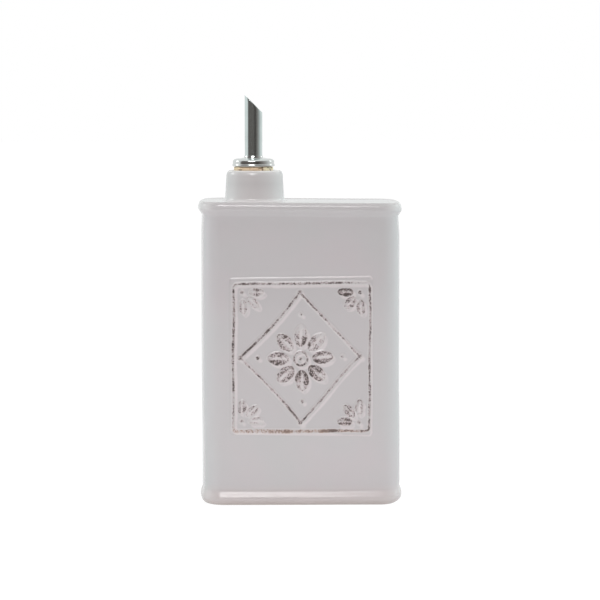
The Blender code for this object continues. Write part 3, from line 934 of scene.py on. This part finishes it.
def glaze(name, worn):
    """The glaze, with painted light and shade; with worn set also rubbed crests read from the points."""
    finish = Finish(name)
    height = finish.axis("Z")
    ragged = height + finish.noise(120, 2) * 0.002
    inside, top = (SHELL_DEPTH - abs(finish.axis("Y"))).between(*SHELL_BAND), height.between(*TOP_BAND)
    around = finish.node("ShaderNodeMapping", {}, finish.place, Location=(-NECK_X, 0, 0), Scale=(1, 1, 0))
    radius = finish.node("ShaderNodeVectorMath", {"operation": "LENGTH"}, around, output="Value")
    # Painted light: the ring round the foot of the neck that is painted paler below.
    neck_foot_light = (1 - radius.between(*NECK_RING)) * (1 - height.between(*NECK_BAND)) * inside
    colour = finish.paint(
        GREIGE,
        (PINKER, finish.noise(26, 3).between(0.45, 0.75)),
        (GREENER, finish.noise(38, 2, shift=(3, 1, 2)).between(0.5, 0.8) * 0.4),
        (SPECK, finish.noise(900, 2).between(0.72, 0.8) * 0.12),
        (WARM_GLAZE, (1 - ragged.between(*FOOT_BAND)) * 0.6),
        # Painted shade: the lowest few millimetres of the foot, which turn under towards the floor, are
        # painted darker and warmer.
        (WARM_FOOT_SHADE, (1 - ragged.between(*EDGE_BAND)) * 0.8),
        # Painted light: the top and the neck are painted paler, standing in for more light on them.
        (THIN_GLAZE_AND_LIGHT, inside * top * (0.5 + height.between(*NECK_PALE) * 0.06)),
        # Painted light: the lip's top, which faces up, is painted paler.
        (LIP_LIGHT, height.between(*LIP_BAND) * 0.9),
        # Painted light: round the foot of the neck, where shade would gather, the glaze is painted paler.
        (NECK_FOOT_LIGHT, neck_foot_light * top),
    )
    roughness = 0.09 + finish.noise(60, 2) * 0.04
    roughness = roughness - height.between(*TOP_GLOSS) * 0.04 + (1 - height.between(*FOOT_GLOSS)) * 0.08
    normal = finish.bump(finish.noise(70, 2), 0.00035, 0.35)
    if worn:
        crest, pale = finish.mark("crest"), finish.mark("pale")
        grain = finish.noise(1500, 2, 0.6) - 0.5
        clumps = finish.noise(420, 2, shift=(2, 5, 1)) - 0.5
        patches = finish.noise(85, 2, shift=(7, 3, 5)) - 0.5
        edge = (pale * 1.1 + patches * 1.2 + clumps * 0.8).between(0.2, 1.0)
        shoulder = crest.between(0.02, 0.22) * (1 - crest.between(0.45, 0.80)) * 0.35
        to_right = (finish.axis("X") + patches * 0.03).between(*RUSTY_SIDE)
        low = (1 - (height + clumps * 0.006).between(*RUSTY_BAND)) * (1 - to_right * 0.7)
        soaked = (crest * 0.9 + grain * 1.8 + clumps * 1.6 + patches).between(0.35, 1.0)
        reach = crest * 0.5 + grain * 3.4 + clumps * 2.0 + patches * 2.0
        rubbed = reach.between(0.42, 0.62) * crest.between(0.42, 0.75)
        colour = finish.paint(
            colour,
            (FIELD, 0.75),
            # Painted light and a painted highlight: pinkish paler glaze right of and under each line and
            # along the panel's upper edge.
            (PINK_LIGHT, edge * pale.between(0.0, 0.2) * 0.8),
            (THIN_GLAZE_AND_LIGHT, shoulder),
            (finish.mix(STAIN, RUSTY, low), soaked * crest.between(0.25, 0.60) * 0.85),
            (BARE, rubbed * (1 - low * 0.35)),
        )
        roughness = roughness + crest.between(0.05, 0.6) * 0.08 + rubbed * 0.3
    return finish.set(Base_Color=colour, Roughness=roughness, Normal=normal, IOR=1.5, Coat_Weight=0.0)


dress(can, glaze("glaze_plain", worn=False))
dress(panel, glaze("glaze_worn", worn=True))
print("glaze nodes:", len(panel.data.materials[0].node_tree.nodes))

# %% [markdown]
# ## Cork and steel
# Cork is pale tan bark with darker grains and brown pores, and this one has a crack down its front.
# Polished steel is nearly a mirror: what shows on it is the room, broken a little by fine turning marks
# that run round the piece. The breather is plain drawn tube.

# %% Cork
TAN, GRAINY, PATCHY = (0.92, 0.71, 0.50), (0.68, 0.46, 0.29), (0.93, 0.79, 0.56)
BARK, CRACKED, PORE_DARK = (0.90, 0.83, 0.62), (0.16, 0.09, 0.05), (0.10, 0.045, 0.02)
CRACK_X = -19.9 * MM


def cork_finish():
    """Tan with grains, brown in the pores, and a crack down the front with paler bark to its right."""
    finish = Finish("natural_cork")
    grain = finish.noise(700, 4, 0.6)
    patches = finish.noise(160, 3, stretch=(1, 1, 2.2))
    aside = finish.axis("X") - CRACK_X + (grain - 0.5) * 0.0012
    front = (0 - finish.axis("Y")).between(0.0, 0.002)
    colour = finish.paint(
        TAN,
        (GRAINY, grain.between(0.42, 0.72)),
        (PATCHY, patches.between(0.5, 0.72) * 0.7),
        (BARK, aside.between(0.0003, 0.0012) * front * 0.55),
        (CRACKED, (1 - abs(aside).between(0.00015, 0.0006)) * front * 0.85),
        (PORE_DARK, finish.mark("pore").between(0.12, 0.5)),
    )
    normal = finish.bump(grain + patches * 0.6, 0.0004, 0.5)
    return finish.set(Base_Color=colour, Roughness=0.82 - grain * 0.1, Normal=normal)


dress(cork, cork_finish())
print("cork nodes:", len(cork.data.materials[0].node_tree.nodes))

# %% Steel
def steel_finish(name, colour, shine, marks):
    """Steel with turning marks: noise squeezed along the height, which rings the piece."""
    finish = Finish(name)
    rings = finish.noise(500, 3, stretch=(0.4, 0.4, 9))
    smear = finish.noise(140, 2)
    tint = finish.mix(colour, tuple(0.86 * part for part in colour), smear.between(0.45, 0.75) * 0.5)
    roughness = shine + rings * marks + smear.between(0.4, 0.8) * 0.03
    normal = finish.bump(rings, 0.00002, 0.3)
    return finish.set(Base_Color=tint, Metallic=1.0, Roughness=roughness, Normal=normal)


dress(tube, steel_finish("polished_tube", (0.685, 0.765, 0.755), 0.07, 0.08))
dress(collar, steel_finish("polished_collar", (0.73, 0.755, 0.745), 0.05, 0.05))
dress(breather, steel_finish("drawn_tube", (0.66, 0.67, 0.68), 0.22, 0.16))
print("pieces dressed:", [piece.name for piece in (can, panel, cork, tube, collar, breather)])

# %% [markdown]
# ## The studio
# The can stood in a white tent: soft light from all sides and from overhead, and a bright window above the
# camera that draws the thin shine along rim and foot, with a smaller one on each side. The tent was open
# towards the camera, and the steel shows the dim room there as its dark middle. Only the camera sees the
# plain white of ground and tent, so it adds no light, and the floor keeps a soft shadow.

# %% Floor and tent
FLOOR_HALF = 9.0
GROUND, GROUND_LIT = 0.70, 0.35
GLOW_SHARE, GLOW = 0.75, 1.1
AMBIENT, MIRRORED = 0.28, 0.86
TENT_TINT = (0.98, 1.0, 0.995)


def lay_floor():
    """A wide flat floor, lit from above and a little from within.

    The camera sees it partly plain white, so that a shadow stays soft, and mirrored rays see the tent.
    """
    corners = FLOOR_HALF * np.array([(-1, -1, 0), (1, -1, 0), (1, 1, 0), (-1, 1, 0)])
    floor = make_piece("floor", corners, np.array([[0, 1, 2, 3]]))
    finish = Finish("white_ground")
    matt = {"Base_Color": (GROUND,) * 3, "Roughness": 1.0, "Specular_IOR_Level": 0.0}
    finish.set(Emission_Color=WHITE, Emission_Strength=GROUND_LIT, **matt)
    lit, mirrored = Level(finish, finish.shader.outputs[0]), finish.ray("Glossy")
    strength = mirrored * (MIRRORED - GLOW) + GLOW
    glow = finish.node("ShaderNodeEmission", {}, Color=WHITE, Strength=strength)
    share = (finish.ray("Camera") * GLOW_SHARE + mirrored).between(0, 1)
    finish.end_in(finish.node("ShaderNodeMixShader", {}, share, lit, glow))
    dress(floor, finish.material)


def pitch_tent():
    """A world that is white to the camera, a little dimmer to mirrored rays, and dimmer still as a lamp."""
    world = bpy.data.worlds.new("white_tent")
    world.use_nodes = True
    scene.world = world
    tent = Recipe(world.node_tree)
    seen, mirrored = tent.ray("Camera") + tent.ray("Transmission"), tent.ray("Glossy")
    strength = seen * (1 - AMBIENT) + mirrored * (MIRRORED - AMBIENT) + AMBIENT
    tent.fill(tent.tree.nodes["Background"], tent.mix(WHITE, TENT_TINT, mirrored), strength)


scene.view_settings.view_transform = "Standard"
lay_floor()
pitch_tent()
print("floor and tent are up")

# %% The dim room and the windows
ROOM_RADIUS, ROOM_LOW, ROOM_HIGH = 1.35, 0.001, 1.6
ROOM_LEFT, ROOM_RIGHT = -88, 112
ROOM_SHADE, ROOM_DIP, ROOM_TINT = 0.14, 0.07, (1.0, 0.87, 0.82)
WINDOW_FAR, WINDOW_FADE, BAR_SHADE = 1.25, 0.74, 0.6
MIDDLE = (0.0, 0.0, 0.12)


def room_shade(azimuth):
    """How bright the room is at an azimuth in degrees, counted from the camera's side to the right.

    It is even, dips round 20 degrees with a bell curve, eases up to the tent's white at the left end, and
    from 27 degrees on rises with a power of the way to the right end, where it meets the tent again.
    """
    dip = ROOM_DIP * np.exp(-(((azimuth - 20) / 13) ** 2))
    left = ease((-68 - azimuth) / 20)
    right = np.clip((azimuth - 27) / 85, 0, 1) ** 1.6
    return ROOM_SHADE - dip + (MIRRORED - ROOM_SHADE) * np.maximum(left, right)


def glowing_card(name, grid, shade, dim=WHITE, bright=WHITE):
    """A sheet over a grid of points that shines with a level for each point, seen by mirrored rays only.

    Its colour goes from dim at a level of 0.1 to bright at 0.5.
    """
    card = make_piece(name, grid.reshape(-1, 3), grid_faces(*grid.shape[:2], False, False))
    mark_points(card, "shade", shade)
    finish = Finish(name)
    level = finish.mark("shade")
    colour = finish.mix(dim, bright, level.between(0.1, 0.5))
    finish.end_in(finish.node("ShaderNodeEmission", {}, Color=colour, Strength=level))
    dress(card, finish.material)
    card.visible_camera = card.visible_diffuse = card.visible_shadow = card.visible_transmission = False


def arc(azimuth, radius, heights):
    """Points on an upright or leaning arc round the can: one row for each height and its radius."""
    turn, out = np.radians(azimuth), np.array(radius)[:, None]
    return rows_at(out * np.sin(turn), -out * np.cos(turn), np.array(heights)[:, None])


def window(name, azimuth, half_width, elevation, half_height, radiance):
    """A window of light, placed and sized in degrees round the can, with fading ends and a dimmer bar."""
    around = azimuth + np.linspace(-half_width, half_width, 41)
    up = np.radians(elevation + half_height * np.array([-1, 0, 1]))
    grid = arc(around, WINDOW_FAR * np.cos(up), MIDDLE[2] + WINDOW_FAR * np.sin(up))
    ends = ease((half_width - np.abs(around - azimuth)) / (WINDOW_FADE * half_width))
    glowing_card(name, grid, radiance * ends * np.array([[1], [BAR_SHADE], [1]]))


room = np.linspace(ROOM_LEFT, ROOM_RIGHT, 95)
room_grid = arc(room, (ROOM_RADIUS, ROOM_RADIUS), (ROOM_LOW, ROOM_HIGH))
glowing_card("dim_room", room_grid, np.tile(room_shade(room), 2), ROOM_TINT, TENT_TINT)
window("front_window", -13, 27, 38, 7.0, 11.6)
window("left_window", -109, 18, 25, 7.0, 5.0)
window("right_window", 117, 18, 25, 7.0, 3.0)
print("room shades:", room_shade(np.array([-88, -60, 20, 73, 112])).round(2).tolist())

# %% Lamps
COOL = (0.77, 1.0, 0.99)


def hang_lamp(name, place, aim, size, radiance, colour=WHITE):
    """A soft rectangular lamp that faces aim; its power is pi times its area times the radiance."""
    data = bpy.data.lights.new(name, "AREA")
    data.shape, data.size, data.size_y = "RECTANGLE", *size
    data.color, data.energy = colour, math.pi * size[0] * size[1] * radiance
    lamp = place_object(name, data, place, facing(place, aim))
    lamp.visible_glossy = lamp.visible_camera = False


def hang_sky(name, tilt, spread, level):
    """Light from overhead, leaning towards the front by tilt and spread over a wide cone."""
    data = bpy.data.lights.new(name, "SUN")
    data.angle, data.energy = math.radians(spread), math.pi * level
    place_object(name, data, turn=(math.radians(tilt), 0, 0)).visible_glossy = False


hang_lamp("high_front", (-0.10, -0.93, 0.86), MIDDLE, (0.60, 0.20), 9.3)
hang_lamp("low_front", (-0.04, -0.15, 0.01), (-0.03, 0.0, 0.03), (0.36, 0.08), 0.88)
hang_lamp("left_side", (-1.45, 0.39, 0.20), MIDDLE, (1.2, 1.2), 3.55, COOL)
hang_lamp("right_side", (1.45, 0.39, 0.20), MIDDLE, (1.2, 1.2), 5.1, COOL)
hang_sky("overhead", 8, 60, 0.36)

# %% [markdown]
